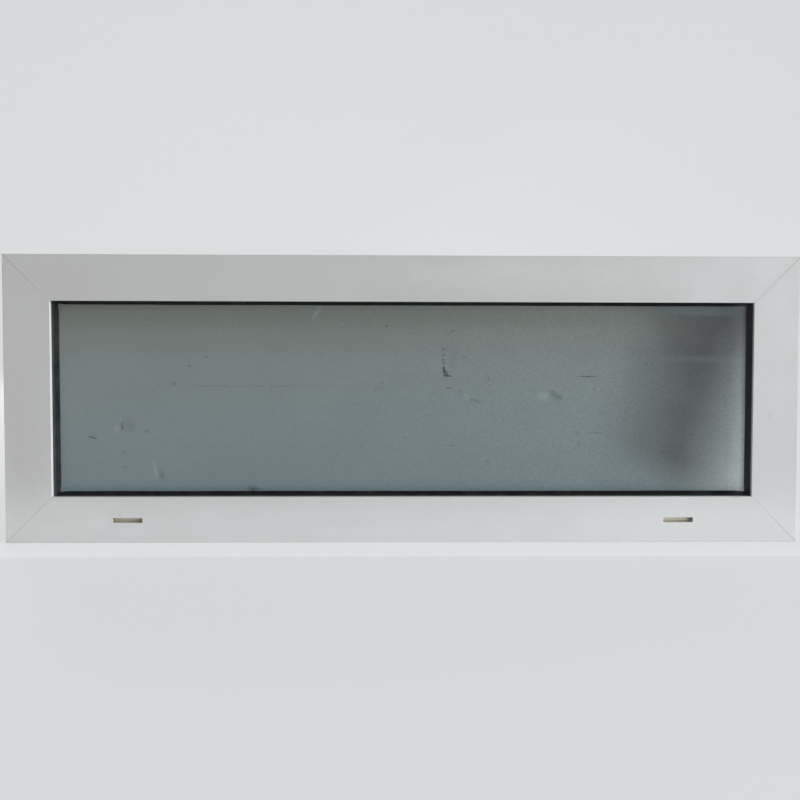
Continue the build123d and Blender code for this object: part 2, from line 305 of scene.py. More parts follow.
strip_nylon, tree, shader = new_finish("strip_nylon")
fibre = grain(tree, 0.0011, 3.0, 0.6)
speckled = mixed(
    tree, ranged(tree, fibre, 0.52, 0.70), (0.018, 0.018, 0.020, 1), (0.045, 0.045, 0.047, 1)
)
dusty = use(tree, dust, {"Colour": speckled, "Amount": 0.16, "Ledges": 0.35, "Size": 0.022})
tree.links.new(dusty.outputs["Colour"], shader.inputs["Base Color"])
tree.links.new(
    ranged(tree, dusty.outputs["Mask"], 0.0, 0.4, 0.55, 0.85), shader.inputs["Roughness"]
)
relief(tree, shader, fibre, 0.3, 0.00015)
dress([f"{row}_strip_{side}" for row in ("perimeter", "rebate") for side in sides], strip_nylon)


# Shells and their white coat. Each side is a hollow aluminium extrusion, cut at 45 degrees and
# powder coated white before it is cut, so the chambers and the punched edges stay bare metal.
window_half = 0.400
window_rise = 0.290
outdoor_face = -0.0325
shell_wall = 0.0017
chamber_end = 0.0257
lip_depth = 0.006

# A soft or sharp mark of any length, width and turn, anywhere on the face
mark, entry, leave = new_group(
    "mark",
    (
        ("Place", "Vector", (0, 0, 0)),
        ("Turn", "Vector", (0, 0, 0)),
        ("Half Size", "Vector", (0.01, 1.0, 0.01)),
        ("Softness", "Float", 1.0),
        ("Ragged", "Float", 0.0),
    ),
    (("Mask", "Float"),),
)
place = put(mark, "ShaderNodeTexCoord")
about = put(
    mark,
    "ShaderNodeMapping",
    {
        "Vector": place.outputs["Object"],
        "Location": entry.outputs["Place"],
        "Rotation": entry.outputs["Turn"],
        "Scale": entry.outputs["Half Size"],
    },
    vector_type="TEXTURE",
)
apart = put(mark, "ShaderNodeVectorMath", {0: about.outputs[0]}, operation="LENGTH")
ragged = worked(mark, "ADD", apart.outputs["Value"], entry.outputs["Ragged"])
inner = worked(mark, "SUBTRACT", 1.0, entry.outputs["Softness"])
within = put(
    mark,
    "ShaderNodeMapRange",
    {"Value": ragged, "From Min": 1.0, "From Max": inner, "To Min": 0.0, "To Max": 1.0},
    interpolation_type="SMOOTHSTEP",
)
mark.links.new(within.outputs["Result"], leave.inputs["Mask"])


def object_axes(tree):
    """X, Y and Z of the object itself."""
    place = put(tree, "ShaderNodeTexCoord")
    return put(tree, "ShaderNodeSeparateXYZ", {0: place.outputs["Object"]}).outputs


def marked(tree, colour, marks, ragged=0.0):
    """Lay marks over a colour. Each has x, z, half length, half width, turn, softness, tint
    and amount; lengths are in millimetres and turns in degrees, anticlockwise."""
    for x, z, length, width, turn, softness, tint, amount in marks:
        laid = use(
            tree,
            mark,
            {
                "Place": (x * millimetre, 0, z * millimetre),
                "Turn": (0, -math.radians(turn), 0),
                "Half Size": (length * millimetre, 1000.0, width * millimetre),
                "Softness": softness,
                "Ragged": ragged,
            },
        )
        share = worked(tree, "MULTIPLY", laid.outputs["Mask"], amount)
        colour = mixed(tree, share, colour, (*tint, 1))
    return colour


white_coat, tree, shader = new_finish("white_coat")
axes = object_axes(tree)
off_middle = worked(tree, "ABSOLUTE", axes["X"], 0.0)
from_end = worked(tree, "SUBTRACT", window_half, off_middle)
off_level = worked(
    tree, "ABSOLUTE", worked(tree, "SUBTRACT", axes["Z"], window_rise / 2), 0.0
)
from_edge = worked(tree, "SUBTRACT", window_rise / 2, off_level)
inward = worked(tree, "MINIMUM", from_end, from_edge)

# The coat itself, faintly uneven, with a few rubbed and soiled places on the outdoor face, painted
# shade down the left stile and painted light along the top rail
uneven = grain(tree, 0.16, 4.0, 0.55)
coat = mixed(
    tree, ranged(tree, uneven, 0.3, 0.7), (0.690, 0.690, 0.684, 1), (0.712, 0.715, 0.711, 1)
)
pepper = grain(tree, 0.0016, 1.0)
coat = mixed(
    tree, ranged(tree, pepper, 0.76, 0.82, 0.0, 0.22), coat, (0.34, 0.33, 0.31, 1)
)
rubbed = worked(tree, "MULTIPLY", grain(tree, 0.004, 3.0), 0.9)
behind_lip = outdoor_face + lip_depth
off_face = ranged(tree, axes["Y"], behind_lip - 0.001, behind_lip + 0.001, -0.45, 2.0)
soil_and_shade, worn, painted_light = (0.50, 0.49, 0.47), (0.18, 0.17, 0.16), (0.80, 0.805, 0.81)
coat = marked(
    tree,
    coat,
    (
        # Painted shade down the left stile, then painted light along the top rail; the smaller
        # marks are real soil and wear
        (-384, 70, 40, 150, 0, 1.0, soil_and_shade, 0.26),
        (110, 272, 270, 26, 0, 1.0, painted_light, 0.40),
        (-386, 79, 9, 16, 20, 1.0, soil_and_shade, 0.16),
        (-352, 24, 20, 7, -8, 1.0, soil_and_shade, 0.10),
        (-60, 20, 60, 9, 2, 1.0, soil_and_shade, 0.07),
        (120, 268, 80, 8, -1, 1.0, soil_and_shade, 0.06),
        (338, 45.4, 4.5, 0.8, 3, 0.8, worn, 0.42),
        (318, 44.9, 1.4, 0.5, -8, 0.8, worn, 0.3),
        (-286, 28.2, 1.2, 1.5, 30, 0.5, worn, 0.55),
        (-293.5, 20.3, 0.9, 0.5, 0, 0.6, worn, 0.5),
        (371, 130, 1.0, 6.5, -14, 0.7, soil_and_shade, 0.35),
        (-372, 214, 0.7, 4.0, 9, 0.7, soil_and_shade, 0.35),
    ),
    ragged=worked(tree, "ADD", rubbed, off_face),
)

# Grime in the mitred corner joints, thinning out towards the glass
off_joint = worked(tree, "ABSOLUTE", worked(tree, "SUBTRACT", from_end, from_edge), 0.0)
near_joint = ranged(tree, off_joint, 0.0007, 0.00012)
fade = ranged(tree, inward, 0.034, 0.002, 0.0, 0.40)
patchy = ranged(tree, grain(tree, 0.006, 4.0, 0.65), 0.30, 0.62, 0.35, 1.0)
grime = worked(tree, "MULTIPLY", worked(tree, "MULTIPLY", near_joint, fade), patchy)
coat = mixed(tree, grime, coat, (0.20, 0.19, 0.175, 1))
dusty = use(tree, dust, {"Colour": coat, "Amount": 0.07, "Ledges": 0.30, "Size": 0.05})

# Bare dull metal in the hollows and on the punched edges of the slots
behind = ranged(tree, axes["Y"], outdoor_face + 0.0002, outdoor_face + 0.0005)
ahead = ranged(tree, axes["Y"], -outdoor_face - 0.0002, -outdoor_face - 0.0005)
deep = ranged(tree, inward, shell_wall - 0.0002, shell_wall)
shallow = ranged(tree, inward, chamber_end + 0.0001, chamber_end - 0.0001)
between_faces = worked(tree, "MULTIPLY", behind, ahead)
in_chambers = worked(tree, "MULTIPLY", deep, shallow)
bare = worked(tree, "MULTIPLY", between_faces, in_chambers)
drawn = grain(tree, 0.0012, 3.0, 0.6, stretch=(0.03, 1.0, 1.0))
metal = mixed(
    tree, ranged(tree, drawn, 0.35, 0.65), (0.66, 0.615, 0.53, 1), (0.76, 0.72, 0.63, 1)
)
tree.links.new(mixed(tree, bare, dusty.outputs["Colour"], metal), shader.inputs["Base Color"])
tree.links.new(worked(tree, "MULTIPLY", bare, 0.15), shader.inputs["Metallic"])
satin = ranged(tree, grain(tree, 0.035, 5.0, 0.6), 0.35, 0.70, 0.36, 0.46)
matted = worked(tree, "MULTIPLY_ADD", dusty.outputs["Mask"], 0.5, satin)
tree.links.new(
    worked(tree, "MULTIPLY_ADD", bare, 0.12, matted), shader.inputs["Roughness"]
)
peel = worked(tree, "MULTIPLY_ADD", grain(tree, 0.0045, 1.0), 0.7, grain(tree, 0.0013, 2.0))
relief(tree, shader, peel, 0.16, 0.00012)
dress([f"{shell}_shell_{side}" for shell in ("outer", "inner") for side in sides], white_coat)


# Corner cleats. Aluminium angles sawn from an extrusion, pushed into the chambers of both bars at
# each corner and crimped there; they hold the mitres tight.
cleat_metal, tree, shader = new_finish("cleat_metal", Metallic=1.0)
drawn = grain(tree, 0.0009, 4.0, 0.7, stretch=(1.0, 0.02, 1.0))
sawn = grain(tree, 0.0022, 2.0, 0.5, stretch=(0.15, 1.0, 1.0))
streaks = worked(tree, "MULTIPLY_ADD", sawn, 0.35, drawn)
metal = mixed(
    tree, ranged(tree, streaks, 0.45, 0.90), (0.50, 0.50, 0.50, 1), (0.72, 0.72, 0.71, 1)
)
dusty = use(tree, dust, {"Colour": metal, "Amount": 0.20, "Ledges": 0.2, "Size": 0.018})
tree.links.new(dusty.outputs["Colour"], shader.inputs["Base Color"])
tree.links.new(ranged(tree, streaks, 0.4, 0.95, 0.30, 0.55), shader.inputs["Roughness"])
relief(tree, shader, streaks, 0.25, 0.00012)
corners = ("bottom_left", "bottom_right", "top_right", "top_left")
for shell in ("outer", "inner"):
    dress([f"{shell}_cleat_{corner}" for corner in corners], cleat_metal)


# Glazing bridges and setting blocks. Under the glass a hard grey plastic bridge spans the gap
# between the shells, and a ribbed block on it carries the weight of the glass.
block_plastic, tree, shader = new_finish("block_plastic", Specular_IOR_Level=0.45)
flow = grain(tree, 0.02, 4.0, 0.6, stretch=(0.25, 1.0, 1.0))
plastic = mixed(
    tree, ranged(tree, flow, 0.35, 0.65), (0.105, 0.115, 0.13, 1), (0.135, 0.145, 0.16, 1)
)
dusty = use(tree, dust, {"Colour": plastic, "Amount": 0.22, "Ledges": 0.3, "Size": 0.02})
tree.links.new(dusty.outputs["Colour"], shader.inputs["Base Color"])
ribs = put(
    tree,
    "ShaderNodeTexWave",
    {"Vector": put(tree, "ShaderNodeTexCoord").outputs["Object"], "Scale": 90.0},
    bands_direction="X",
)
tree.links.new(ranged(tree, flow, 0.3, 0.7, 0.45, 0.6), shader.inputs["Roughness"])
relief(tree, shader, ribs.outputs["Fac"], 0.35, 0.0003)
for part in ("glazing_bridge", "setting_block"):
    dress([f"{part}_{end}" for end in ("left", "right")], block_plastic)


# Panes. Two sheets of 4 mm float glass with ground edges, faintly green in their thickness.
pane_glass, tree, shader = new_finish(
    "pane_glass", IOR=1.52, Transmission_Weight=1.0, Metallic=0.0
)
wiped = grain(tree, 0.05, 6.0, 0.7, stretch=(1.0, 1.0, 2.4))
tint = mixed(
    tree, ranged(tree, wiped, 0.45, 0.75), (0.93, 0.975, 0.955, 1), (0.90, 0.945, 0.93, 1)
)
tree.links.new(tint, shader.inputs["Base Color"])
tree.links.new(ranged(tree, wiped, 0.48, 0.78, 0.005, 0.07), shader.inputs["Roughness"])
dress(("outer_pane", "inner_pane"), pane_glass)


# Spacer. A hollow aluminium bar, bent round the edge of the cavity and filled with drying grains,
# with a row of small breather slots along the side that faces the cavity.
spacer_metal, tree, shader = new_finish("spacer_metal", Metallic=1.0)
rolled = grain(tree, 0.0007, 3.0, 0.6, stretch=(1.0, 0.06, 1.0))
metal = mixed(
    tree, ranged(tree, rolled, 0.35, 0.65), (0.58, 0.585, 0.59, 1), (0.70, 0.705, 0.71, 1)
)
tree.links.new(metal, shader.inputs["Base Color"])
tree.links.new(ranged(tree, rolled, 0.3, 0.7, 0.28, 0.42), shader.inputs["Roughness"])
relief(tree, shader, rolled, 0.15, 0.0001)
dress(("spacer",), spacer_metal)

# What shows in the breather slots: shadow, with a few of the drying grains
slot_shadow, tree, shader = new_finish("slot_shadow", Metallic=0.0)
grains = grain(tree, 0.0009, 1.0)
tree.links.new(
    mixed(tree, ranged(tree, grains, 0.5, 0.66), (0.012, 0.012, 0.012, 1), (0.07, 0.06, 0.045, 1)),
    shader.inputs["Base Color"],
)
tree.links.new(ranged(tree, grains, 0.4, 0.6, 0.6, 0.9), shader.inputs["Roughness"])


def new_builder(name, inputs):
    """An empty geometry tree with its named inputs, its entry and its exit."""
    tree = bpy.data.node_groups.new(name, "GeometryNodeTree")
    tree.interface.new_socket("Geometry", in_out="INPUT", socket_type="NodeSocketGeometry")
    tree.interface.new_socket("Geometry", in_out="OUTPUT", socket_type="NodeSocketGeometry")
    for label, kind in inputs:
        tree.interface.new_socket(label, in_out="INPUT", socket_type="NodeSocket" + kind)
    return tree, tree.nodes.new("NodeGroupInput"), tree.nodes.new("NodeGroupOutput")


def built(name, start, tree, values, crease=35):
    """Run a geometry tree on a starting mesh and keep the plain mesh that it makes."""
    made = link_object(name, start)
    steps = made.modifiers.new("build", "NODES")
    steps.node_group = tree
    sockets = {item.name: item.identifier for item in tree.interface.items_tree}
    for label, value in values.items():
        steps[sockets[label]] = value
    bpy.context.view_layer.update()
    evaluated = made.evaluated_get(bpy.context.evaluated_depsgraph_get())
    mesh = bpy.data.meshes.new_from_object(evaluated)
    made.modifiers.remove(steps)
    mesh.name = name
    made.data = mesh
    tidy = bmesh.new()
    tidy.from_mesh(mesh)
    bmesh.ops.recalc_face_normals(tidy, faces=tidy.faces)
    tidy.to_mesh(mesh)
    tidy.free()
    mesh.shade_smooth()
    mesh.set_sharp_from_angle(angle=math.radians(crease))
    return made


slot_row, entry, leave = new_builder(
    "breather_slots",
    (
        ("Width", "Float"),
        ("Height", "Float"),
        ("Centre", "Vector"),
        ("Pitch", "Float"),
        ("Slot", "Vector"),
        ("Finish", "Material"),
    ),
)
ring = put(
    slot_row,
    "GeometryNodeCurvePrimitiveQuadrilateral",
    {"Width": entry.outputs["Width"], "Height": entry.outputs["Height"]},
)
stood = put(
    slot_row,
    "GeometryNodeTransform",
    {
        "Geometry": ring.outputs["Curve"],
        "Rotation": (math.pi / 2, 0, 0),
        "Translation": entry.outputs["Centre"],
    },
)
spots = put(
    slot_row,
    "GeometryNodeCurveToPoints",
    {"Curve": stood.outputs[0], "Length": entry.outputs["Pitch"]},
    mode="LENGTH",
)
one = put(slot_row, "GeometryNodeMeshCube", {"Size": entry.outputs["Slot"]})
aligned = put(
    slot_row,
    "FunctionNodeAlignRotationToVector",
    {"Vector": spots.outputs["Tangent"]},
    axis="X",
    pivot_axis="Y",
)
laid = put(
    slot_row,
    "GeometryNodeInstanceOnPoints",
    {
        "Points": spots.outputs["Points"],
        "Instance": one.outputs["Mesh"],
        "Rotation": aligned.outputs[0],
    },
)
real = put(slot_row, "GeometryNodeRealizeInstances", {0: laid.outputs[0]})
dark = put(
    slot_row,
    "GeometryNodeSetMaterial",
    {"Geometry": real.outputs[0], "Material": entry.outputs["Finish"]},
)
slot_row.links.new(dark.outputs[0], leave.inputs["Geometry"])
spacer_low, spacer_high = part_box("spacer")
spacer_deep = 0.006
breather_slots = built(
    "spacer_breather_slots",
    bpy.data.meshes.new("spacer_breather_slots"),
    slot_row,
    {
        "Width": spacer_high.x - spacer_low.x - 2 * spacer_deep,
        "Height": spacer_high.z - spacer_low.z - 2 * spacer_deep,
        "Centre": (spacer_low + spacer_high) / 2,
        "Pitch": 0.005,
        "Slot": (0.0022, 0.0006, 0.00006),
        "Finish": slot_shadow,
    },
)
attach(breather_slots, "root")


# Edge seal. Black two-part sealant, pressed into the rim of the unit behind the spacer and struck
# off flush with the glass.
edge_seal, tree, shader = new_finish("edge_seal")
lumps = grain(tree, 0.006, 5.0, 0.6)
sealant = mixed(
    tree, ranged(tree, lumps, 0.40, 0.70), (0.014, 0.014, 0.015, 1), (0.030, 0.030, 0.030, 1)
)
tree.links.new(sealant, shader.inputs["Base Color"])
tree.links.new(ranged(tree, lumps, 0.3, 0.7, 0.45, 0.70), shader.inputs["Roughness"])
relief(tree, shader, lumps, 0.5, 0.0005)
dress(("edge_seal",), edge_seal)


# Matt film. A dull grey-green film covers the outdoor pane up to the gaskets. It was laid by hand:
# it has small dents, a crease and a blister, dark specks and scuffs. Painted shade lies along its
# head and on the dents, with painted highlights; a painted dark reflection covers its right-hand
# end.
film_low, film_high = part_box("matt_film")
film_cell = 0.002
film_edge_calm = 0.0025

# Dents and rises, in millimetres: x, z, half length, half width, turn in degrees, height
film_relief = (
    (-291.0, 116.5, 5.5, 7.0, 8, -0.13),
    (-280.0, 119.0, 5.0, 8.0, 8, 0.10),
    (-255.0, 71.5, 3.2, 12.0, 10, -0.12),
    (-249.0, 68.0, 3.6, 11.0, 12, 0.14),
    (143.0, 148.5, 7.5, 6.0, 0, -0.14),
    (156.0, 147.0, 8.5, 3.6, -28, 0.08),
    (-155.0, 54.5, 6.5, 3.6, 0, -0.05),
    (-316.3, 103.6, 4.5, 1.8, -20, 0.12),
    (40.5, 181.0, 1.8, 16.0, 0, 0.14),
    (68.0, 145.5, 8.0, 2.6, -20, 0.10),
    (187.0, 167.5, 12.0, 1.8, 0, 0.10),
    (-89.6, 233.0, 3.6, 12.5, -31, 0.08),
)


def film_rise(x, z):
    """How far the film stands off its flat face here, in metres."""
    rise = 0.00002 * noise.noise((x * 22, 0.0, z * 22))
    for spot_x, spot_z, length, width, turn, height in film_relief:
        across, along = x / millimetre - spot_x, z / millimetre - spot_z
        if abs(across) > 20 or abs(along) > 20:
            continue
        angle = math.radians(turn)
        first = (across * math.cos(angle) + along * math.sin(angle)) / length
        second = (along * math.cos(angle) - across * math.sin(angle)) / width
        apart = math.hypot(first, second)
        if apart < 1:
            rise += height * millimetre * (1 - apart * apart) ** 2
    margin = min(x - film_low.x, film_high.x - x, z - film_low.z, film_high.z - z)
    return rise * min(1.0, margin / film_edge_calm)


across_count = round((film_high.x - film_low.x) / film_cell)
up_count = round((film_high.z - film_low.z) / film_cell)
sheet = bmesh.new()
grids = []
for raised in (True, False):
    grid = []
    for up in range(up_count + 1):
        z = film_low.z + (film_high.z - film_low.z) * up / up_count
        row = []
        for across in range(across_count + 1):
            x = film_low.x + (film_high.x - film_low.x) * across / across_count
            y = film_low.y - film_rise(x, z) if raised else film_high.y
            row.append(sheet.verts.new((x, y, z)))
        grid.append(row)
    grids.append(grid)
front, back = grids
for grid, order in ((front, (0, 1, 2, 3)), (back, (3, 2, 1, 0))):
    for low_row, high_row in zip(grid, grid[1:]):
        for across in range(across_count):
            cell = (*low_row[across:across + 2], high_row[across + 1], high_row[across])
            sheet.faces.new([cell[corner] for corner in order]).smooth = True
rim = [(0, across) for across in range(across_count)]
rim += [(up, across_count) for up in range(up_count)]
rim += [(up_count, across) for across in range(across_count, 0, -1)]
rim += [(up, 0) for up in range(up_count, 0, -1)]
for (up, across), (next_up, next_across) in zip(rim, rim[1:] + rim[:1]):
    sheet.faces.new(
        (
            front[next_up][next_across], front[up][across], back[up][across],
            back[next_up][next_across],
        )
    )
film_mesh = bpy.data.meshes.new("matt_film_sheet")
sheet.to_mesh(film_mesh)
sheet.free()
film_mesh.set_sharp_from_angle(angle=math.radians(40))
film_sheet = link_object("matt_film_sheet", film_mesh)

matt_film, tree, shader = new_finish("matt_film", Specular_IOR_Level=0.35)
axes = object_axes(tree)
# The film's tone from foot to head, bluish at the foot; the darker, warmer head is painted shade
# under the top lip
level = put(
    tree,
    "ShaderNodeValToRGB",
    {
        "Fac": put(
            tree,
            "ShaderNodeMapRange",
            {"Value": axes["Z"], "From Min": film_low.z, "From Max": film_high.z},
        ).outputs["Result"]
    },
)
stops = level.color_ramp
stops.interpolation = "EASE"
tones = (
    (0.00, (0.190, 0.275, 0.310)),
    (0.07, (0.234, 0.290, 0.302)),
    (0.45, (0.266, 0.318, 0.325)),
    (0.66, (0.272, 0.320, 0.318)),
    (0.82, (0.258, 0.292, 0.276)),
    (0.93, (0.225, 0.251, 0.224)),
    (1.00, (0.236, 0.254, 0.219)),
)
while len(stops.elements) < len(tones):
    stops.elements.new(0.5)
for stop, (at, tone) in zip(stops.elements, tones):
    stop.position = at
    stop.color = (*tone, 1)
cloudy = grain(tree, 0.07, 5.0, 0.6)
film = mixed(
    tree, ranged(tree, cloudy, 0.35, 0.65, 0.0, 0.10), level.outputs["Color"], (0.15, 0.20, 0.21, 1)
)

# A slightly darker tone towards the right, in two steps
along = axes["X"]
film = mixed(tree, ranged(tree, along, -0.40, 0.20, 0.0, 0.14), film, (0.135, 0.165, 0.165, 1))
film = mixed(tree, ranged(tree, along, 0.150, 0.245, 0.0, 0.16), film, (0.10, 0.12, 0.12, 1))


def sided(tree, first, second, blur):
    """1 to the left of the line from the first point to the second, seen from outdoors, and 0 to
    its right, eased over the blur; in millimetres."""
    along = Vector((second[0] - first[0], 0, second[1] - first[1])).normalized()
    normal = Vector((-along.z, 0, along.x))
    start = normal.dot(Vector((first[0], 0, first[1]))) * millimetre
    place = put(tree, "ShaderNodeTexCoord")
    across = put(
        tree,
        "ShaderNodeVectorMath",
        {0: place.outputs["Object"], 1: normal},
        operation="DOT_PRODUCT",
    )
    half = blur * millimetre / 2
    return ranged(tree, across.outputs["Value"], start - half, start + half)


# Painted reflection over the right-hand end. A dark patch with soft sides narrows as it runs down;
# two thin paler bands cross it; to its right the film is pale, and paler lower down
up = axes["Z"]
drift = ranged(tree, grain(tree, 0.030, 3.0), 0.25, 0.75, 0.90, 1.0)
reflected_dark = mixed(
    tree, ranged(tree, up, 0.205, 0.145), (0.072, 0.077, 0.077, 1), (0.100, 0.115, 0.114, 1)
)
above = worked(
    tree, "MULTIPLY", sided(tree, (264, 242), (236, 90), 102), sided(tree, (231, 86), (284, 60), 46)
)
film = mixed(tree, worked(tree, "MULTIPLY", above, drift), film, reflected_dark)
across = ranged(tree, along, 0.235, 0.285)
thin_band = worked(
    tree, "MULTIPLY", sided(tree, (250, 184), (350, 182), 4), sided(tree, (350, 188), (250, 190), 4)
)
thin_band = worked(tree, "MULTIPLY", thin_band, across)
film = mixed(tree, worked(tree, "MULTIPLY", thin_band, 0.25), film, (0.19, 0.22, 0.22, 1))
pale = mixed(tree, ranged(tree, up, 0.235, 0.085), (0.50, 0.57, 0.52, 1), (0.44, 0.515, 0.495, 1))
# Painted light on the film beside the right gasket, where the right lip shades it
lit_brink = worked(tree, "MULTIPLY", ranged(tree, along, 0.314, 0.350), ranged(tree, up, 0.25, 0.18))
pale = mixed(tree, worked(tree, "MULTIPLY", lit_brink, 0.85), pale, (0.79, 0.86, 0.85, 1))
film = mixed(tree, sided(tree, (361, 207), (320, 72), 95), film, pale)
# Painted light along the head of the right-hand end, where the top gasket shades the film
head_band = worked(tree, "MULTIPLY", sided(tree, (250, 232), (350, 230), 5), across)
film = mixed(tree, worked(tree, "MULTIPLY", head_band, 0.5), film, (0.155, 0.190, 0.200, 1))

# Fine grain over all of it, stronger towards the right
fine = ranged(tree, grain(tree, 0.0015, 2.0, 0.7), 0.2, 0.8, -1.0, 1.0)
swing = ranged(tree, along, -0.25, 0.32, 0.055, 0.14)
film = put(
    tree,
    "ShaderNodeVectorMath",
    {0: film, "Scale": worked(tree, "MULTIPLY_ADD", fine, swing, 1.0)},
    operation="SCALE",
).outputs[0]

# Faint specks all over, then scuffs and dark specks; on the dents and creases the lighter side is a
# painted highlight and the darker side beside it painted shade
specks = ranged(tree, grain(tree, 0.0042, 1.0), 0.735, 0.80, 0.0, 0.28)
film = mixed(tree, specks, film, (0.090, 0.105, 0.105, 1))
dark, grey, olive, rusty, highlight, bluish = (
    (0.035, 0.038, 0.036), (0.090, 0.105, 0.105), (0.105, 0.120, 0.070), (0.16, 0.10, 0.085),
    (0.330, 0.390, 0.390), (0.075, 0.105, 0.125),
)
tattered = worked(tree, "MULTIPLY", worked(tree, "SUBTRACT", grain(tree, 0.0022, 2.0), 0.5), 1.5)
film = marked(
    tree,
    film,
    (
        (-317.0, 104.6, 7.0, 1.3, -20, 0.9, dark, 0.75),
        (-293.5, 113.5, 4.6, 6.0, 8, 1.0, highlight, 0.75),
        (-289.1, 123.2, 1.8, 5.0, -12, 1.0, highlight, 0.50),
        (-287.6, 115.8, 2.6, 7.0, 4, 1.0, grey, 0.60),
        (-279.6, 117.3, 9.0, 12.0, 0, 1.0, grey, 0.18),
        (-262.1, 110.9, 4.6, 1.8, -8, 1.0, olive, 0.60),
        (-254.3, 71.8, 3.2, 15.0, 10, 1.0, highlight, 0.60),
        (-247.5, 65.5, 4.0, 9.0, 12, 1.0, bluish, 0.40),
        (-286.1, 89.6, 3.8, 2.2, 10, 1.0, grey, 0.40),
        (-285.2, 74.2, 3.8, 2.0, -10, 1.0, bluish, 0.35),
        (-219.0, 177.8, 3.0, 1.7, 0, 1.0, rusty, 0.75),
        (-202.5, 187.0, 2.4, 1.8, 0, 1.0, grey, 0.45),
        (-235.1, 160.0, 3.4, 2.6, 0, 1.0, bluish, 0.45),
        (-155.0, 52.0, 9.0, 5.0, 0, 1.0, bluish, 0.90),
        (-154.0, 157.6, 196, 1.2, 0.2, 0.9, grey, 0.16),
        (-243.0, 182.5, 15, 0.9, 0, 1.0, highlight, 0.12),
        (-89.6, 233.0, 3.4, 14.0, -31, 1.0, highlight, 0.50),
        (60.6, 187.4, 1.9, 1.7, 0, 1.0, dark, 0.55),
        (43.9, 210.8, 1.9, 1.5, 0, 1.0, dark, 0.50),
        (48.3, 213.9, 2.4, 1.6, 0, 1.0, dark, 0.60),
        (75.8, 184.3, 1.6, 1.5, 0, 1.0, dark, 0.35),
        (85.3, 164.8, 1.7, 2.0, 0, 1.0, dark, 0.50),
        (44.8, 156.1, 4.6, 1.2, 4, 1.0, dark, 0.55),
        (55.9, 152.8, 4.0, 2.8, -25, 1.0, grey, 0.36),
        (63.6, 146.3, 6.0, 5.0, 0, 1.0, highlight, 0.40),
        (68.1, 144.0, 3.0, 2.4, 0, 1.0, olive, 0.38),
        (73.2, 142.4, 6.0, 2.4, -25, 1.0, grey, 0.38),
        (0.5, 104.8, 3.6, 1.4, 0, 1.0, dark, 0.30),
        (46.0, 97.0, 10.0, 1.8, -6, 1.0, grey, 0.25),
        (85.0, 80.0, 1.8, 1.8, 0, 1.0, dark, 0.40),
        (101.2, 122.0, 1.6, 1.4, 0, 1.0, dark, 0.35),
        (-19.1, 218.6, 2.8, 1.7, 0, 1.0, dark, 0.60),
        (-62.9, 217.2, 2.2, 1.5, 0, 1.0, dark, 0.35),
        (-29.3, 154.3, 1.9, 1.5, 0, 1.0, dark, 0.40),
        (-23.2, 160.5, 1.7, 1.4, 0, 1.0, dark, 0.30),
        (326.3, 209.5, 2.2, 2.0, 0, 1.0, dark, 0.65),
        (334.8, 195.1, 2.2, 1.9, 0, 1.0, rusty, 0.40),
        (247.0, 181.5, 2.4, 1.9, 0, 1.0, dark, 0.40),
        (194.5, 155.7, 2.2, 1.7, 20, 1.0, dark, 0.30),
        (209.0, 106.5, 2.4, 2.1, 0, 1.0, grey, 0.40),
        (178.5, 98.5, 3.0, 2.4, 0, 1.0, grey, 0.40),
        (142.3, 147.8, 9.0, 7.5, 0, 1.0, highlight, 0.75),
        (150.6, 151.0, 5.5, 4.5, -30, 1.0, olive, 0.24),
        (155.0, 148.0, 10.5, 5.0, -30, 1.0, grey, 0.36),
        (157.6, 146.8, 6.0, 1.7, -30, 1.0, dark, 0.24),
        (187.0, 167.8, 17.0, 1.2, 0, 1.0, grey, 0.70),
        (186.6, 167.8, 6.0, 1.2, 0, 1.0, dark, 0.55),
        (196.0, 110.0, 14.0, 1.2, 0, 1.0, grey, 0.40),
        (177.0, 110.4, 5.0, 2.8, 0, 1.0, olive, 0.25),
        (48.0, 188.0, 9.0, 22.0, 0, 1.0, grey, 0.10),
        (30.0, 178.5, 8.0, 14.0, 0, 1.0, highlight, 0.18),
        (39.9, 173.8, 2.0, 8.0, 0, 0.8, dark, 0.85),
        (42.4, 170.6, 4.8, 3.2, -38, 0.8, dark, 0.65),
        (43.6, 168.2, 5.4, 1.3, -4, 0.8, dark, 0.75),
        (39.6, 181.6, 2.6, 1.2, 0, 0.9, dark, 0.75),
        (39.4, 184.6, 2.4, 1.0, 0, 0.9, dark, 0.70),
        (39.2, 189.3, 2.2, 1.2, 0, 0.9, dark, 0.70),
        (39.0, 195.7, 2.4, 1.1, 0, 0.9, dark, 0.65),
    ),
    ragged=tattered,
)

# The side towards the glass is plain
inside = ranged(tree, axes["Y"], film_high.y - 0.00008, film_high.y - 0.00002)
plain_back = (0.24, 0.28, 0.28, 1)
film = mixed(tree, inside, film, plain_back)
tree.links.new(film, shader.inputs["Base Color"])
tree.links.new(ranged(tree, cloudy, 0.3, 0.7, 0.44, 0.58), shader.inputs["Roughness"])
relief(tree, shader, fine, 0.20, 0.00015)
film_mesh.materials.append(matt_film)
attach(film_sheet, "root")
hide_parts("matt_film")


# Gaskets. Black rubber profiles, pushed by a barbed foot into the grooves of the outdoor lip and
# of the beads, cut to length a touch long, and joined at the corners. The outdoor one spreads a
# soft lip over the film; the indoor one is a wedge that presses the glass outwards. The rubber at
# the right-hand end is painted paler and bluer as painted light, and the wall beside the lip has a
# greenish bloom.
gasket_rubber, tree, shader = new_finish("gasket_rubber", Specular_IOR_Level=0.10)
axes = object_axes(tree)
bloom = grain(tree, 0.012, 5.0, 0.65)
rubber = mixed(
    tree, ranged(tree, bloom, 0.42, 0.72), (0.009, 0.0095, 0.012, 1), (0.016, 0.017, 0.020, 1)
)
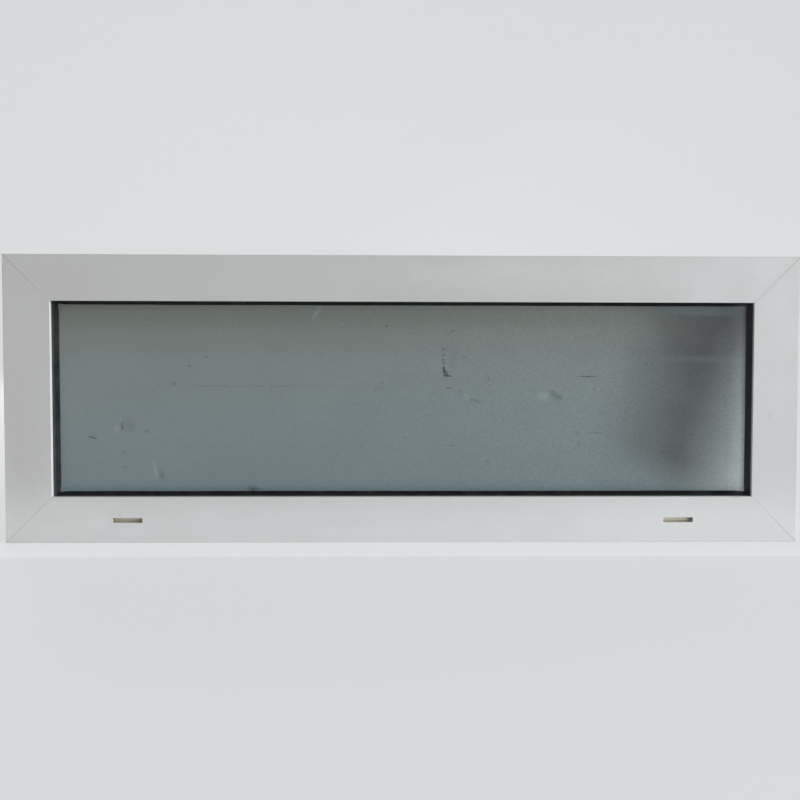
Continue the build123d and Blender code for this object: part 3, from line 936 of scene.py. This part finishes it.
# Painted light: the rubber at the right-hand end is paler and bluer, where the lip shades it
right_end = window_half - 0.060
lit_right_end = ranged(tree, axes["X"], right_end - 0.005, right_end + 0.005, 0.0, 0.9)
rubber = mixed(tree, lit_right_end, rubber, (0.055, 0.057, 0.066, 1))
side_wall = ranged(tree, axes["Y"], outdoor_face + 0.010, outdoor_face + 0.008)
wiped = worked(tree, "MULTIPLY", side_wall, ranged(tree, bloom, 0.25, 0.7, 0.35, 0.75))
rubber = mixed(tree, wiped, rubber, (0.052, 0.078, 0.072, 1))
dusty = use(tree, dust, {"Colour": rubber, "Amount": 0.05, "Ledges": 0.12, "Size": 0.02})
tree.links.new(dusty.outputs["Colour"], shader.inputs["Base Color"])
tree.links.new(ranged(tree, bloom, 0.35, 0.75, 0.52, 0.72), shader.inputs["Roughness"])
relief(tree, shader, grain(tree, 0.0011, 2.0), 0.18, 0.0001)

gasket_run, entry, leave = new_builder(
    "gasket_run",
    (
        ("Half Length", "Float"),
        ("Cuts", "Int"),
        ("Lip Start", "Float"),
        ("Lip End", "Float"),
        ("Waviness", "Float"),
        ("Wave Size", "Float"),
        ("Tuck", "Float"),
        ("Tuck Length", "Float"),
        ("Seed", "Float"),
        ("Turn", "Vector"),
        ("Place", "Vector"),
        ("Finish", "Material"),
    ),
)


def reckon(operation, first, second=None, third=None):
    """One sum in the gasket's tree."""
    values = [value for value in (first, second, third) if value is not None]
    made = put(gasket_run, "ShaderNodeMath", dict(enumerate(values)), operation=operation)
    return made.outputs[0]


def eased(value, start, end):
    """0 at the start and 1 at the end, eased between."""
    made = put(
        gasket_run,
        "ShaderNodeMapRange",
        {"Value": value, "From Min": start, "From Max": end},
        interpolation_type="SMOOTHSTEP",
    )
    return made.outputs["Result"]


def noted(geometry, field, kind, label):
    """Keep a value on each point, to use once the bar is swept."""
    made = put(gasket_run, "GeometryNodeCaptureAttribute", {"Geometry": geometry})
    made.capture_items.new(kind, label)
    gasket_run.links.new(field, made.inputs[label])
    return made.outputs["Geometry"], made.outputs[label]


here = put(gasket_run, "GeometryNodeInputPosition").outputs[0]
section = put(gasket_run, "GeometryNodeMeshToCurve", {"Mesh": entry.outputs["Geometry"]})
section, profile = noted(section.outputs[0], here, "VECTOR", "Profile")
run = put(gasket_run, "GeometryNodeCurvePrimitiveLine", {"Start": (-1, 0, 0), "End": (1, 0, 0)})
run = put(
    gasket_run,
    "GeometryNodeResampleCurve",
    {"Curve": run.outputs[0], "Count": entry.outputs["Cuts"]},
)
run_axes = put(gasket_run, "ShaderNodeSeparateXYZ", {0: here})
run, along = noted(run.outputs[0], run_axes.outputs["X"], "FLOAT", "Along")
swept = put(
    gasket_run,
    "GeometryNodeCurveToMesh",
    {"Curve": run, "Profile Curve": section, "Fill Caps": True},
)
profile_axes = put(gasket_run, "ShaderNodeSeparateXYZ", {0: profile})
inward, depth = profile_axes.outputs["X"], profile_axes.outputs["Y"]
lip = eased(inward, entry.outputs["Lip Start"], entry.outputs["Lip End"])
reach = reckon("SUBTRACT", entry.outputs["Half Length"], inward)
straight = reckon("MULTIPLY", along, reach)
wave_place = put(
    gasket_run,
    "ShaderNodeCombineXYZ",
    {0: straight, 1: depth, 2: entry.outputs["Seed"]},
)
wave = put(
    gasket_run,
    "ShaderNodeTexNoise",
    {
        "Vector": wave_place.outputs[0],
        "Scale": reckon("DIVIDE", 1.0, entry.outputs["Wave Size"]),
        "Detail": 2.0,
    },
)
away = reckon("SUBTRACT", reach, reckon("ABSOLUTE", straight))
free = eased(away, 0.0, entry.outputs["Tuck Length"])
sway = reckon("MULTIPLY", reckon("SUBTRACT", wave.outputs["Fac"], 0.5), entry.outputs["Waviness"])
sway = reckon("MULTIPLY", sway, free)
tucked = reckon("MULTIPLY", reckon("SUBTRACT", 1.0, free), entry.outputs["Tuck"])
shift = reckon("MULTIPLY", reckon("SUBTRACT", sway, tucked), lip)
moved = reckon("ADD", inward, shift)
mitred = reckon("MULTIPLY", along, reckon("SUBTRACT", entry.outputs["Half Length"], moved))
target = put(gasket_run, "ShaderNodeCombineXYZ", {0: mitred, 1: depth, 2: moved})
shaped = put(
    gasket_run,
    "GeometryNodeSetPosition",
    {"Geometry": swept.outputs[0], "Position": target.outputs[0]},
)
fitted = put(
    gasket_run,
    "GeometryNodeTransform",
    {
        "Geometry": shaped.outputs[0],
        "Rotation": entry.outputs["Turn"],
        "Translation": entry.outputs["Place"],
    },
)
real = put(gasket_run, "GeometryNodeRealizeInstances", {0: fitted.outputs[0]})
black = put(
    gasket_run,
    "GeometryNodeSetMaterial",
    {"Geometry": real.outputs[0], "Material": entry.outputs["Finish"]},
)
gasket_run.links.new(black.outputs[0], leave.inputs["Geometry"])


def outline(name, corners):
    """A closed outline of (inward, depth, corner radius), in millimetres, as a ring of edges."""
    ring = bmesh.new()
    points = []
    count = len(corners)
    for index, (u, y, radius) in enumerate(corners):
        corner = Vector((u, y, 0))
        if radius == 0:
            points.append(corner)
            continue
        before = Vector((*corners[index - 1][:2], 0)) - corner
        after = Vector((*corners[(index + 1) % count][:2], 0)) - corner
        half_angle = before.angle(after) / 2
        run_in = radius / math.tan(half_angle)
        centre = corner + (before.normalized() + after.normalized()).normalized() * (
            radius / math.sin(half_angle)
        )
        start = corner + before.normalized() * run_in - centre
        end = corner + after.normalized() * run_in - centre
        steps = 4
        points += [centre + start.slerp(end, step / steps) for step in range(steps + 1)]
    made = [
        ring.verts.new((point.x * millimetre, point.y * millimetre + outdoor_face, 0))
        for point in points
    ]
    for first, second in zip(made, made[1:] + made[:1]):
        ring.edges.new((first, second))
    mesh = bpy.data.meshes.new(name)
    ring.to_mesh(mesh)
    ring.free()
    return mesh


outer_outline = (
    (43.8, 4.0, 0), (46.2, 4.0, 0.25), (46.2, 9.3, 1.0), (49.3, 12.0, 0.22), (49.15, 12.5, 0.18),
    (47.9, 12.5, 0.15), (44.9, 10.1, 0.6), (44.9, 5.3, 0.5), (39.9, 5.3, 0.5), (39.9, 12.5, 0.2),
    (38.6, 12.5, 0.2), (38.6, 4.0, 0.3), (40.7, 4.0, 0), (40.7, 2.8, 0), (39.8, 2.8, 0.15),
    (39.8, 1.6, 0.35), (44.7, 1.6, 0.35), (44.7, 2.8, 0.15), (43.8, 2.8, 0),
)
inner_outline = (
    (43.8, 40.5, 0), (43.8, 41.7, 0), (44.7, 41.7, 0.15), (44.7, 42.9, 0.35), (39.8, 42.9, 0.35),
    (39.8, 41.7, 0.15), (40.7, 41.7, 0), (40.7, 40.5, 0), (38.6, 40.5, 0.3), (38.6, 36.5, 0.3),
    (47.3, 36.5, 0.3), (47.3, 37.7, 0.5), (46.2, 40.5, 0.3),
)
turns = {
    "bottom": (0, (0, 0, 0)),
    "top": (180, (0, 0, window_rise)),
    "left": (90, (-window_half, 0, window_rise / 2)),
    "right": (-90, (window_half, 0, window_rise / 2)),
}
gasket_kinds = (
    ("outer_gasket", outer_outline, 0.0464, 0.0493, 0.0007, 0.0009),
    ("inner_gasket", inner_outline, 0.0462, 0.0473, 0.0003, 0.0002),
)
for number, (kind, corners_of, lip_start, lip_end, waviness, tuck) in enumerate(gasket_kinds):
    for order, side in enumerate(sides):
        turn, spot = turns[side]
        level_side = side in ("bottom", "top")
        gasket = built(
            f"{kind}_rubber_{side}",
            outline(kind, corners_of),
            gasket_run,
            {
                "Half Length": window_half if level_side else window_rise / 2,
                "Cuts": 161 if level_side else 61,
                "Lip Start": lip_start,
                "Lip End": lip_end,
                "Waviness": waviness,
                "Wave Size": 0.045,
                "Tuck": tuck,
                "Tuck Length": 0.008,
                "Seed": 0.37 * (order + 1) + 2.0 * number,
                "Turn": (0, math.radians(turn), 0),
                "Place": spot,
                "Finish": gasket_rubber,
            },
        )
        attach(gasket, "root")
        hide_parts(f"{kind}_{side}")


# Glazing beads. Hollow snap-in bars in the same white coat, mitred like the shells; they press the
# inner gasket on the glass from the room side and cover the rails that they hook on.
dress([f"glazing_bead_{side}" for side in sides], white_coat)
